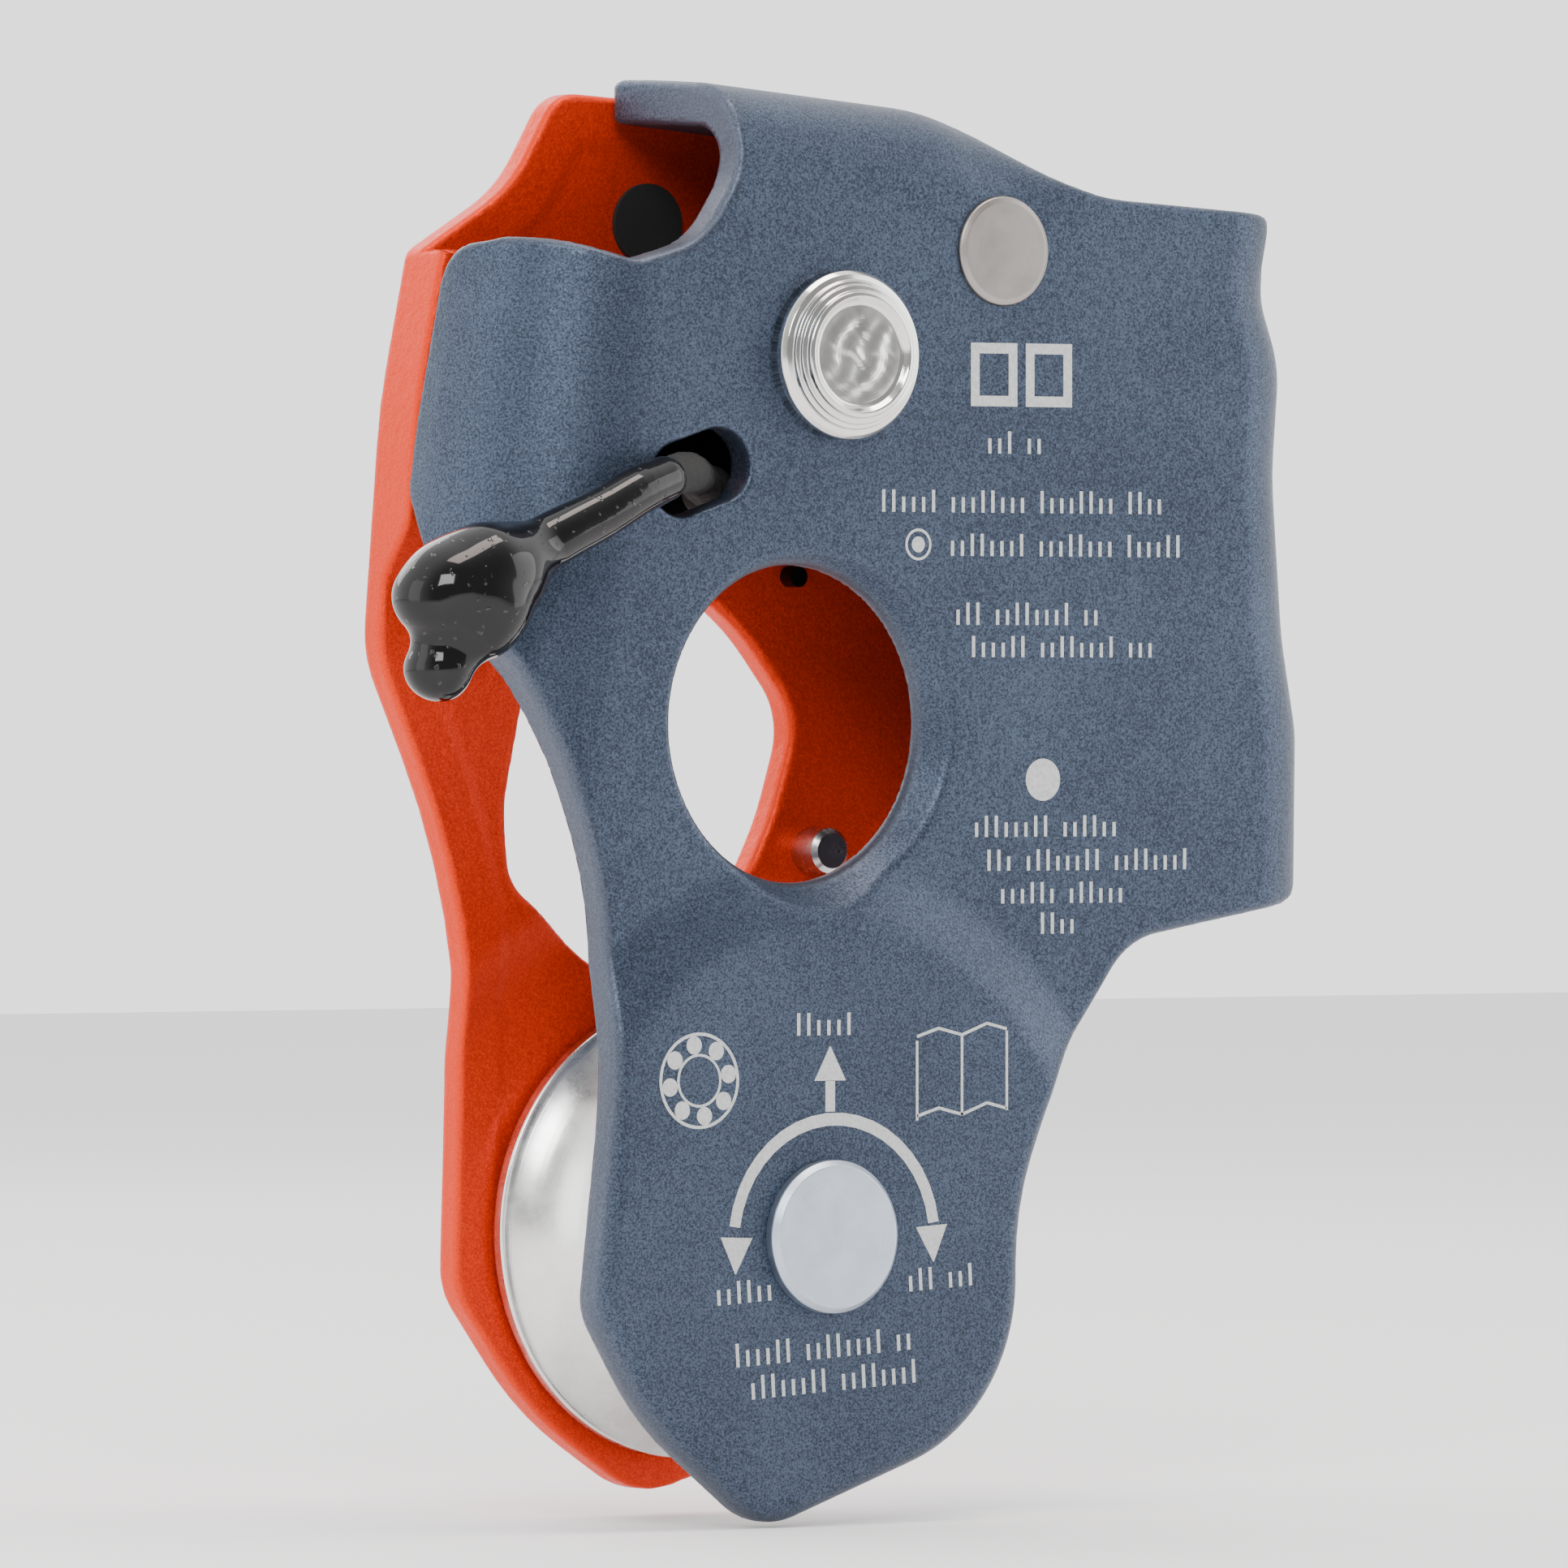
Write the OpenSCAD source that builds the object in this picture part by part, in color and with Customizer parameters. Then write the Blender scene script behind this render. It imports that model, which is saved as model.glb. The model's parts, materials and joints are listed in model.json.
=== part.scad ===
// Climber's rope pulley with a built-in rope clamp. Two forged cheeks carry a grooved sheave on a ball
// bearing, and a sprung toothed cam that grips a rope against the folded side of the front cheek.
// X points right as seen from the front, Y to the back, Z up. The origin is the centre of the connector
// hole, halfway through the front cheek. The rear cheek swings about the sheave axle.

/* [Cheeks] */
// Thickness of each forged cheek
plate_t = 3.6; // [3.4:0.1:3.8]
// Clear width between the cheeks above the sheave
channel_gap = 17.7; // [17.5:0.1:18.5]
// How far each cheek is pressed outwards around the sheave
lobe_jog = 1.9; // [1.7:0.1:2.1]
// Outer radius of the rolled left flap of the front cheek
flap_bend_r = 14.5; // [13.5:0.5:15.5]
// Outer radius of the fold between the front cheek and its rope channel wall
channel_bend_r = 8; // [7:0.5:9]
// Clearance between the folded edges of the front cheek and the rear cheek
fold_clearance = 0.35; // [0.3:0.05:0.6]

/* [Connector hole] */
// Radius of the connector hole in the front cheek
connector_r = 14.9; // [14.5:0.1:15]
// Radius of the bevel around the connector hole
bevel_r = 16.2; // [15.8:0.1:16.4]

/* [Sheave] */
// Outer radius of the sheave
sheave_r = 21.7; // [21:0.1:22]
// Width of the sheave
sheave_w = 20.3; // [19.5:0.1:20.7]
// Radius of the rope groove in section
groove_r = 9.25; // [9:0.05:9.5]
// Depth of the rope groove
groove_depth = 5.6; // [5:0.1:5.8]
// Radius of the sheave axle
axle_r = 5; // [4.8:0.1:5]
// Radius of the axle's front head
axle_head_r = 7.2; // [6.8:0.1:7.6]

/* [Ball bearing] */
// Number of balls
ball_count = 9; // [7:1:9]
// Radius of a ball
ball_r = 2; // [1.9:0.05:2]
// Radius of the circle the ball centres run on
ball_path_r = 9.1; // [9:0.05:9.2]
// Width of the bearing
bearing_w = 8; // [7.5:0.5:8]

/* [Cam] */
// Angle of the log spiral of the toothed face
cam_spiral_angle = 17.7; // [17:0.1:18]
// Number of teeth rows on the cam
cam_rows = 13; // [10:1:15]
// Height of a tooth
tooth_h = 1.1; // [0.8:0.1:1.2]

/* [Pull cord] */
// Diameter of the cord
cord_d = 3.8; // [3.4:0.1:3.8]
// Diameter of the dipped sleeve over the cord
sleeve_d = 5.2; // [5:0.1:5.4]

/* [Hidden] */

$fn = 96;
slack = 0.05;      // radial clearance of a running fit
touch = 0.02;      // radial clearance between pieces that are fixed to each other
far = 200;         // longer than the whole part
front_out = -plate_t / 2;
front_in = plate_t / 2;
rear_in = front_in + channel_gap;
rear_out = rear_in + plate_t;
mid_y = (front_in + rear_in) / 2;
fold_y = rear_in - fold_clearance;
axle = [1.8, -48];         // sheave axle in the front view, x and z
cam_pivot = [4.5, 34.6];
stop_pin = [23.2, 44.7];
stud = [15.9, -12.1];
peg = [13.5, 14];
plug = [-3, 47.3];
slot_mid = [-11.4, 23.5];
slot_r = 3.5;
slot_reach = 2.2;          // from the middle of the slot to the centre of each round end
slot_tilt = 18;
peg_r = 1;
lobe_r = 31;               // where the pressed lobe around the sheave begins to slope
lobe_slope_r = 35;
flap_line = [-32.9, 24];   // a point on the flap's outermost line, and the line's lean
flap_tilt = 8;
flap_back = 15.1;

// Front view outlines: x, z and the radius of each corner, clockwise from the top left
flange_left = -7;
top_right = [[20.3, 57.8, 22], [32.8, 50.1, 21]];
channel_side = [[58.5, 48.5, 3], [57.4, 41, 8], [59.9, 34.3, 12], [59, 23.8, 30], [60.2, 8.2, 30],
    [61.8, -0.8, 12], [61.3, -16.9, 5]];
channel_far = 61.8;
waist_right = [[38.3, -20.6, 8.5], [28.6, -34.2, 25], [24.4, -45.9, 30], [24.4, -65.3, 18]];
front_corners = concat([[flange_left, 60.7, 0.8]], top_right, channel_side, waist_right,
    [[-5, -75.6, 7.3], [-18.2, -65.1, 28], [-24.5, -54.6, 6], [-22.3, -36, 60], [-21.9, -17, 40],
     [-26.2, -3.5, 40], [-29.8, 5.5, 15], [-37.5, 17.5, 2], [-37.5, 44.8, 2], [-25.2, 45.3, 20],
     [-18.3, 43.2, 3], [-11.2, 45.2, 8], [flange_left, 51.5, 8]]);
rear_corners = concat([[-13.2, 59.6, 4]], top_right, [[58.2, 48.4, 5], [60.9, -17.1, 5]], waist_right,
    [[-2.3, -73.5, 8.7], [-14.9, -65.2, 33], [-23.5, -53.4, 7], [-22.5, -17.8, 70], [-33.4, 6.5, 12],
     [-31.5, 30, 60], [-28.5, 44.4, 1.5], [-18.4, 50.6, 14]]);
// The rear cheek's hole, also clockwise
rear_hole = [[-12.3, 23.1, 13], [8, 8.9, 22], [14.5, 0.7, 7], [11.6, -8.9, 28], [6, -19.8, 9],
    [-5, -24.9, 8], [-18.4, -15, 5], [-18.9, -7.5, 15]];
// Side view outline of the rolled flap: y, z and radius
flap_side = [[-6, 60, 0], [flap_back, 60, 0], [flap_back, 46, 3], [flap_back, 22, 5], [3, 4.5, 8],
    [3, -60, 0], [-6, -60, 0]];

// Route of the pull cord, from its stopper knot inside, through the slot, to the toggle
cord_route = [[-6.8, 4.6, 22.3], [-8.6, 2.8, 22.8], [-11.4, 0, 23.4], [-14.5, -3.1, 23.4],
    [-18.2, -5.4, 22.7], [-22, -6.2, 21.4], [-26.2, -6.6, 19.4], [-30.4, -6.8, 17.6], [-34.4, -6.95, 15.75]];
sleeve_from = 4;           // the sleeve covers the route from this point on
// The toggle's three balls: x, y, z and radius
toggle_balls = [[-39.4, -7.2, 13, 5.5], [-43, -7.2, 12.2, 5.5], [-44.3, -7.2, 5.1, 3.3]];

function unit(v) = v / norm(v);
function dir(a) = [cos(a), sin(a)];
function turn(a) = a > 180 ? a - 360 : a < -180 ? a + 360 : a;
function arc(a, b, c, r) =
    let (u = unit(a - b), v = unit(c - b), half = acos(u * v) / 2,
         centre = b + unit(u + v) * r / sin(half),
         p = b + u * r / tan(half) - centre, q = b + v * r / tan(half) - centre,
         first = atan2(p.y, p.x), sweep = turn(atan2(q.y, q.x) - first), steps = ceil(abs(sweep) / 12))
    [for (k = [0 : steps]) centre + r * dir(first + sweep * k / steps)];
function flat2(c) = [c.x, c.y];
function rounded(corners) =
    let (n = len(corners))
    [for (k = [0 : n - 1])
        each corners[k][2] == 0 ? [flat2(corners[k])]
            : arc(flat2(corners[(k + n - 1) % n]), flat2(corners[k]), flat2(corners[(k + 1) % n]),
                corners[k][2])];
function shifted(corners, dx) = [for (c = corners) [c[0] + dx, c[1], c[2]]];

// A front view shape carried from y0 back to y1
module upright(y0, y1) {
    translate([0, y1, 0]) rotate([90, 0, 0]) linear_extrude(y1 - y0) children();
}

// A side view shape (y, z) carried from x0 to x1
module sideways(x0, x1) {
    translate([x0, 0, 0]) rotate([90, 0, 90]) linear_extrude(x1 - x0) children();
}

// A profile of radius and y turned about an axis along Y
module turned(at) {
    translate([at.x, 0, at.y]) rotate([-90, 0, 0]) rotate_extrude() children();
}

// A ring along Y; inner radius 0 makes it solid
module ring(at, r_in, r_out, y0, y1) {
    translate([at.x, y0, at.y]) rotate([-90, 0, 0]) difference() {
        cylinder(r = r_out, h = y1 - y0);
        if (r_in > 0) translate([0, 0, -1]) cylinder(r = r_in, h = y1 - y0 + 2);
    }
}

// A front view obround between two centres; its sides cut the end circles just inside their tangent points
module obround(a, b, r) {
    side = 0.997 * r * unit([a.y - b.y, b.x - a.x]);
    translate(a) circle(r);
    translate(b) circle(r);
    polygon([a + side, b + side, b - side, a - side]);
}

// Both cheeks: a plate whose middle y depends on the distance from the axle
module pressed_plate(y_mid, jog) {
    half = plate_t / 2;
    turned(axle) polygon([[0, y_mid + jog - half], [lobe_r, y_mid + jog - half],
        [lobe_slope_r, y_mid - half], [far, y_mid - half], [far, y_mid + half],
        [lobe_slope_r, y_mid + half], [lobe_r, y_mid + jog + half], [0, y_mid + jog + half]]);
}

// ---- Front cheek ----

module flap_space() {
    translate([flap_line.x, 0, flap_line.y]) rotate([0, flap_tilt, 0]) children();
}

module rolled_flap() {
    centre = [flap_bend_r, front_out + flap_bend_r];
    intersection() {
        flap_space() translate([0, 0, -90]) linear_extrude(120) {
            intersection() {
                translate(centre) difference() {
                    circle(flap_bend_r);
                    circle(flap_bend_r - plate_t);
                }
                translate([0, front_out]) square([flap_bend_r, flap_bend_r]);
            }
            translate([0, centre.y]) square([plate_t, flap_back - centre.y]);
        }
        upright(-6, 20) polygon(rounded(front_corners));
        sideways(-60, 0) polygon(rounded(flap_side));
    }
}

module flat_plate() {
    flange_from = 49;
    flange_to = 28;
    intersection() {
        pressed_plate(0, -lobe_jog);
        upright(-6, 3) difference() {
            polygon(rounded(front_corners));
            translate([-far + flange_to, flange_from]) square([far, far]);
            translate([channel_side[0].x - channel_bend_r + 1, -far / 2]) square([far, far]);
        }
        flap_space() translate([flap_bend_r, -20, -far]) cube([far, 60, 2 * far]);
    }
}

module channel_wall() {
    start_x = channel_side[0].x - channel_bend_r;
    wall_inside = shifted(channel_side, -plate_t);
    intersection() {
        upright(front_out, fold_y) polygon(rounded(front_corners));
        linear_extrude(far, center = true)
            polygon(rounded([[start_x, front_out, 0], [channel_far, front_out, channel_bend_r],
                [channel_far, fold_y, 1.2], [start_x, fold_y, 0]]));
        difference() {
            translate([start_x, front_out, -far / 2]) cube([far, far, far]);
            upright(front_in, far) polygon([[0, far], for (c = wall_inside) flat2(c), [0, -far]]);
        }
    }
}

module top_flange() {
    top = 60.2;
    slope = 4.8;
    thick = 4.2;
    bend_r = 7.5;
    drop = 14;
    intersection() {
        translate([flange_left, 0, top]) rotate([0, slope, 0]) sideways(-10, 45)
            polygon(rounded([[front_out, -drop, 0], [front_out, 0, bend_r], [fold_y, 0, 2],
                [fold_y, -thick, 2], [front_in, -thick, 4], [front_in, -drop, 0]]));
        upright(-6, 20) polygon(rounded(front_corners));
        linear_extrude(far) polygon(rounded([[-20, -6, 0], [-20, 30, 0], [22, 30, 0], [22, 13, 5],
            [28, front_in + 1, 3], [28, -6, 0]]));
    }
}

module front_cheek() {
    bevel_shift = 1.2;         // the forged bevel sits a little to the right of the hole
    bevel_lean = 0.9;
    color([0.25, 0.31, 0.4]) difference() {
        union() {
            flat_plate();
            rolled_flap();
            channel_wall();
            top_flange();
        }
        ring([0, 0], 0, connector_r, -6, 6);
        translate([bevel_shift, -6, 0]) rotate([-90, 0, 0])
            cylinder(r1 = bevel_r + bevel_lean * (6 + front_out), r2 = bevel_r - bevel_lean * 2.7,
                h = 8.7 + front_out);
        upright(-6, 6)
            obround(slot_mid - slot_reach * dir(slot_tilt), slot_mid + slot_reach * dir(slot_tilt), slot_r);
        ring(axle, 0, axle_r + touch, -8, 8);
        ring(cam_pivot, 0, axle_r + touch, -8, 8);
        ring(stop_pin, 0, 3 + touch, -8, 8);
    }
}

// ---- Rear cheek, which swings about the axle ----

module rear_cheek() {
    wall_t = 3.4;
    wall_from = 15.95;
    color([0.9, 0.28, 0.04]) difference() {
        union() {
            intersection() {
                pressed_plate(rear_in + plate_t / 2, lobe_jog);
                upright(rear_in - 1, rear_out + 4) polygon(rounded(rear_corners));
            }
            upright(wall_from, rear_in + 1) intersection() {
                difference() {
                    polygon(rounded(rear_corners));
                    polygon(rounded(shifted(rear_corners, wall_t)));
                }
                translate([-40, 18]) square([30, 25]);
            }
        }
        upright(rear_in - 6, rear_out + 6) polygon(rounded(rear_hole));
        ring(axle, 0, 6.5 + touch, rear_in - 6, rear_out + 6);
        ring(stud, 0, 2.15 + touch, rear_in - 6, rear_out + 6);
        ring(peg, 0, peg_r + touch, rear_in - 6, rear_out + 6);
        ring(plug, 0, 3.85 + touch, rear_in - 6, rear_out + 6);
    }
}

module pivot_bush() {
    color("goldenrod") ring(axle, axle_r + slack, 6.5, rear_in + lobe_jog, rear_out + lobe_jog);
}

module stop_stud() {
    color("silver") turned(stud) polygon([[0, 15.8], [1.7, 15.8], [2.15, 16.25], [2.15, rear_out + 0.3],
        [0, rear_out + 0.3]]);
}

module guide_peg() {
    color("dimgray") ring(peg, 0, peg_r, 17.9, rear_out + 0.3);
}

module bumper_plug() {
    color([0.08, 0.08, 0.08]) ring(plug, 0, 3.85, rear_in - 0.4, rear_out + 0.4);
}

// ---- Sheave axle and its stack ----

lobe_front = front_out - lobe_jog;
lobe_in = front_in - lobe_jog;
lobe_back = rear_out + lobe_jog;
bearing_front = mid_y - bearing_w / 2;
bearing_back = mid_y + bearing_w / 2;
washer_t = 0.8;

module sheave_axle() {
    head_t = 1.5;
    rear_head = lobe_back + 0.2 + washer_t;
    color("silver") turned(axle) polygon([[0, lobe_front - head_t], [axle_head_r - 0.8, lobe_front - head_t],
        [axle_head_r, lobe_front - head_t + 0.8], [axle_head_r, lobe_front], [axle_r, lobe_front],
        [axle_r, rear_head], [6.6, rear_head], [6.6, rear_head + 0.7], [6, rear_head + 1.3],
        [0, rear_head + 1.3]]);
}

module axle_washer() {
    color("silver") ring(axle, axle_r + touch, 9, lobe_back + 0.1, lobe_back + 0.1 + washer_t);
}

module front_spacer() {
    color("silver") ring(axle, axle_r + touch, 7, lobe_in, bearing_front);
}

module rear_spacer() {
    color("silver") ring(axle, axle_r + touch, 7, bearing_back, rear_in + lobe_jog - 0.1);
}

race_r = ball_r + 0.08;
inner_ring_r = 7.6;
outer_ring_r = 13;
outer_ring_in = 10.6;

module bearing_inner_ring() {
    color("gainsboro") turned(axle) difference() {
        translate([axle_r + touch, bearing_front]) square([inner_ring_r - axle_r - touch, bearing_w]);
        translate([ball_path_r, mid_y]) circle(race_r);
    }
}

module bearing_outer_ring() {
    color("gainsboro") turned(axle) difference() {
        translate([outer_ring_in, bearing_front]) square([outer_ring_r - outer_ring_in, bearing_w]);
        translate([ball_path_r, mid_y]) circle(race_r);
    }
}

module around_bearing() {
    translate([axle.x, mid_y, axle.y]) for (k = [0 : ball_count - 1])
        rotate([0, 360 * k / ball_count, 0]) children();
}

module bearing_balls() {
    color("white") around_bearing() translate([ball_path_r, 0, 0]) sphere(ball_r, $fn = 32);
}

module bearing_cage() {
    color("peru") difference() {
        ring(axle, 8, 10.2, mid_y - 2.6, mid_y + 2.6);
        around_bearing() translate([5, 0, 0]) rotate([0, 90, 0]) cylinder(r = ball_r + slack, h = 8);
    }
}

module bearing_shields() {
    color("dimgray") for (y = [bearing_front + 0.3, bearing_back - 0.7])
        ring(axle, inner_ring_r + 0.35, outer_ring_in - touch, y, y + 0.4);
}

snap_y = bearing_back + 0.1;
snap_t = 1;

module bearing_snap_ring() {
    color("dimgray") difference() {
        ring(axle, 11.8, 13.5, snap_y, snap_y + snap_t);
        translate([axle.x - 1.5, snap_y - 1, axle.y + 9]) cube([3, 4, 8]);
    }
}

module sheave() {
    y0 = mid_y - sheave_w / 2;
    y1 = mid_y + sheave_w / 2;
    bore_r = outer_ring_r + touch;
    color("whitesmoke") turned(axle) difference() {
        polygon(rounded([[bore_r, y0, 0.5], [sheave_r, y0, 0.6], [sheave_r, y1, 0.6], [bore_r, y1, 0.5]]));
        translate([sheave_r - groove_depth + groove_r, mid_y]) circle(groove_r);
        translate([0, snap_y - 0.1]) square([13.6, snap_t + 0.2]);
    }
}

// ---- Cam and its axle ----

cam_front = 3.4;
cam_back = 13.6;
head_front = 4;
head_back = 17;
cam_bore = 6.45;
cam_end = 17.3;
pull_at = [-2.6, -13.6];   // pull pin, from the cam pivot
arm_front = 10.2;

module cam_axle() {
    color("silver") turned(cam_pivot) polygon([[0, -4.8], [4.9, -4.8], [5.5, -5.4], [5.9, -5.4], [6.2, -4.7],
        [6.9, -4.4], [7.4, -3.7], [7.95, -3.3], [7.95, front_out], [axle_r, front_out],
        [axle_r, cam_end + 0.7], [6.4, cam_end + 0.7], [6.4, cam_end + 1.2], [5.9, cam_end + 1.6],
        [0, cam_end + 1.6]]);
}

module cam_spring_cover() {
    color([0.08, 0.08, 0.08]) ring(cam_pivot, axle_r + touch, 9.5, cam_end, cam_end + 0.6);
}

module cam_thrust_washer() {
    color("goldenrod") ring(cam_pivot, axle_r + touch, 8, front_in, cam_front - 0.1);
}

module cam_spring_collar() {
    color("silver") ring(cam_pivot, axle_r + touch, 6, cam_back + 0.1, cam_end);
}

module cam_stop_pin() {
    color("silver") turned(stop_pin) polygon([[0, front_out - 0.6], [4.75, front_out - 0.6],
        [5.25, front_out - 0.2], [5.25, front_out], [3, front_out], [3, head_back - 0.4], [2.6, head_back],
        [0, head_back]]);
}

function cam_r(a) = 44.3 * exp(-tan(cam_spiral_angle) * a * PI / 180);
face_top = 16;
face_bottom = -23;
row_step = (face_top - face_bottom) / cam_rows;
toothed_face = [for (k = [0 : cam_rows - 1]) let (a = face_top - row_step * k, b = a - row_step)
    each [(cam_r(a) - tooth_h) * dir(a), cam_r(b) * dir(b)]];

module cam_plan() {
    hub_r = 8.5;
    circle(hub_r);
    polygon(concat([0.98 * hub_r * dir(110), [20, 6.8], [37, 11.6]], toothed_face,
        [[42, -18.8], [24, -10.5], [12, -10.2], [6, -9], 0.98 * hub_r * dir(-100)]));
}

module cam() {
    head_from = 28;
    color([0.7, 0.7, 0.7]) translate([cam_pivot.x, 0, cam_pivot.y]) difference() {
        union() {
            upright(cam_front, cam_back) cam_plan();
            upright(head_front, head_back) intersection() {
                cam_plan();
                difference() {
                    circle(far);
                    circle(head_from);
                }
            }
            upright(arm_front, cam_back)
                polygon([[0, 5], [-14, -5], [-15, -15.5], pull_at - [1, 3.4], [0.6, -14.5], [4, 0]]);
        }
        ring([0, 0], 0, cam_bore, 0, 20);
        ring(pull_at, 0, 1.5 + touch, 0, 20);
        upright(0, 20) obround([16, -2], [30, -3.5], 2.6);
    }
}

module cam_bush() {
    color("goldenrod") ring(cam_pivot, axle_r + slack, cam_bore - touch, cam_front, cam_back);
}

module cam_pull_pin() {
    color("silver") ring(cam_pivot + pull_at, 0, 1.5, 9, cam_back + 0.6);
}

// ---- Swept tubes: the cam spring and the cord ----

function ring_points(route, k, r, sides) =
    let (n = len(route), t = unit(route[min(k + 1, n - 1)] - route[max(k - 1, 0)]),
         side = unit(cross(t, abs(t.z) < 0.9 ? [0, 0, 1] : [0, 1, 0])), up = cross(side, t))
    [for (j = [0 : sides - 1]) route[k] + r * (cos(360 * j / sides) * side + sin(360 * j / sides) * up)];
function tube_walls(count, sides, base, inward) =
    [for (k = [0 : count - 2]) for (j = [0 : sides - 1])
        let (a = base + k * sides + j, b = base + k * sides + (j + 1) % sides, c = b + sides, d = a + sides)
        each inward ? [[a, b, c], [a, c, d]] : [[a, c, b], [a, d, c]]];

module tube(route, r, sides) {
    n = len(route);
    points = [for (k = [0 : n - 1]) each ring_points(route, k, r, sides)];
    faces = concat([[for (j = [0 : sides - 1]) j]], tube_walls(n, sides, 0, false),
        [[for (j = [sides - 1 : -1 : 0]) (n - 1) * sides + j]]);
    polyhedron(points, faces);
}

module hollow_tube(route, r_in, r_out, sides) {
    n = len(route);
    points = [for (r = [r_out, r_in]) for (k = [0 : n - 1]) each ring_points(route, k, r, sides)];
    ends = [for (j = [0 : sides - 1])
        let (i = (j + 1) % sides, m = n * sides, z = (n - 1) * sides)
        each [[j, i, m + i], [j, m + i, m + j], [z + j, m + z + i, z + i], [z + j, m + z + j, m + z + i]]];
    polyhedron(points, concat(tube_walls(n, sides, 0, false), tube_walls(n, sides, n * sides, true), ends));
}

module cam_spring() {
    coil_r = 7;
    wire_r = 0.6;
    y0 = cam_back + 0.25 + wire_r;
    rise = 2.1;
    first = 110;
    sweep = 532;
    steps = 30;
    stop_leg = [[stop_pin.x + 2.4, y0, stop_pin.y + 4.8], [stop_pin.x - 5, y0, stop_pin.y + 2.3]];
    coil = [for (k = [0 : steps]) [cam_pivot.x + coil_r * cos(first + sweep * k / steps),
        y0 + rise * k / steps, cam_pivot.y + coil_r * sin(first + sweep * k / steps)]];
    cam_leg = [[cam_pivot.x + 8, y0 + rise, cam_pivot.y - 4.6],
        [cam_pivot.x + 14, y0 + rise, cam_pivot.y - 2.6]];
    color("dimgray") tube(concat(stop_leg, coil, cam_leg), wire_r, 8);
}

function part_of(route, first) = [for (k = [first : len(route) - 1]) route[k]];

module pull_cord() {
    color([0.1, 0.1, 0.1]) tube(cord_route, cord_d / 2, 8);
}

module cord_knot() {
    axis = unit(cord_route[0] - cord_route[1]);
    color([0.1, 0.1, 0.1]) translate(cord_route[0] + 2.55 * axis) sphere(2.5, $fn = 32);
}

module cord_sleeve() {
    color([0.05, 0.05, 0.05])
        hollow_tube(part_of(cord_route, sleeve_from), cord_d / 2 + 0.1, sleeve_d / 2, 8);
}

module toggle() {
    color([0.05, 0.05, 0.05]) {
        for (b = toggle_balls) translate([b[0], b[1], b[2]]) sphere(b[3], $fn = 48);
    }
}

front_cheek();
rear_cheek();
sheave_axle();
axle_washer();
front_spacer();
rear_spacer();
bearing_inner_ring();
bearing_balls();
bearing_cage();
bearing_outer_ring();
bearing_shields();
bearing_snap_ring();
sheave();
pivot_bush();
stop_stud();
guide_peg();
bumper_plug();
cam_axle();
cam_spring_cover();
cam_thrust_washer();
cam_spring_collar();
cam_spring();
cam_stop_pin();
cam();
cam_bush();
cam_pull_pin();
pull_cord();
cord_knot();
cord_sleeve();
toggle();
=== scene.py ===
"""The visible model of the climber's rope pulley, in the CAD model's own frame.

The cheeks and the dipped toggle are written as distance fields, in millimetres, and meshed here, because their
rolled edges, pressed lobes and soft blends have no flat or round CAD faces. The other pieces are turned
profiles and swept tubes. Lengths are millimetres until a mesh is made.
"""
import json
import math

import bpy
import numpy as np
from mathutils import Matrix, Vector


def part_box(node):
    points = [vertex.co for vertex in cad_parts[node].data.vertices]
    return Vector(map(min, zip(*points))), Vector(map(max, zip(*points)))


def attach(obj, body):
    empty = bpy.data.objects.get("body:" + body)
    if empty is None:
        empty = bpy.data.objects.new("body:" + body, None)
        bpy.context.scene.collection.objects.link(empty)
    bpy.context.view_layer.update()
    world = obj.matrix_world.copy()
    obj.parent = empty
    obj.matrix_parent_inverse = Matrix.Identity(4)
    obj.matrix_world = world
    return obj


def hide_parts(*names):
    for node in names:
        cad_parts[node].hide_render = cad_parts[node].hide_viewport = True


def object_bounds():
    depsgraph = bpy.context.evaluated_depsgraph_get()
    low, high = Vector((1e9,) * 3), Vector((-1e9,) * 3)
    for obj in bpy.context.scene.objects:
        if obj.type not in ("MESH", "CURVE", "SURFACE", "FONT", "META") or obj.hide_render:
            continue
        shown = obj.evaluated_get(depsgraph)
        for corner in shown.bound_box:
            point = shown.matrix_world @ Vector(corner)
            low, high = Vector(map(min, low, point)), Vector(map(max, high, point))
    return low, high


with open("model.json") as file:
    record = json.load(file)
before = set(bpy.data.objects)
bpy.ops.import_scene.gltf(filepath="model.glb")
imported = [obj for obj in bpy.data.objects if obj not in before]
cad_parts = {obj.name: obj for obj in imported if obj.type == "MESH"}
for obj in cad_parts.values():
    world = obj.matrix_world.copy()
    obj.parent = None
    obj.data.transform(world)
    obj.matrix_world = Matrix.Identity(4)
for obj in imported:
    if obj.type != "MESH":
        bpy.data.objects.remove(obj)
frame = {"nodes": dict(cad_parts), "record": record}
NODES = frame["nodes"]
CAD_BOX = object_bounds()
MM = 0.001


def node_box(name):
    """A CAD node's lowest and highest corners, in millimetres."""
    low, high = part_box(name)
    return np.array(low) / MM, np.array(high) / MM


# ---- Camera ----

CAMERA_TARGET = Vector((6.68, 10.65, -5.70)) * MM
CAMERA_DISTANCE = 1.4
CAMERA_AZIMUTH = math.radians(-35.0)
CAMERA_ELEVATION = math.radians(0.3)
CAMERA_LENS = 339.7


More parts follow.
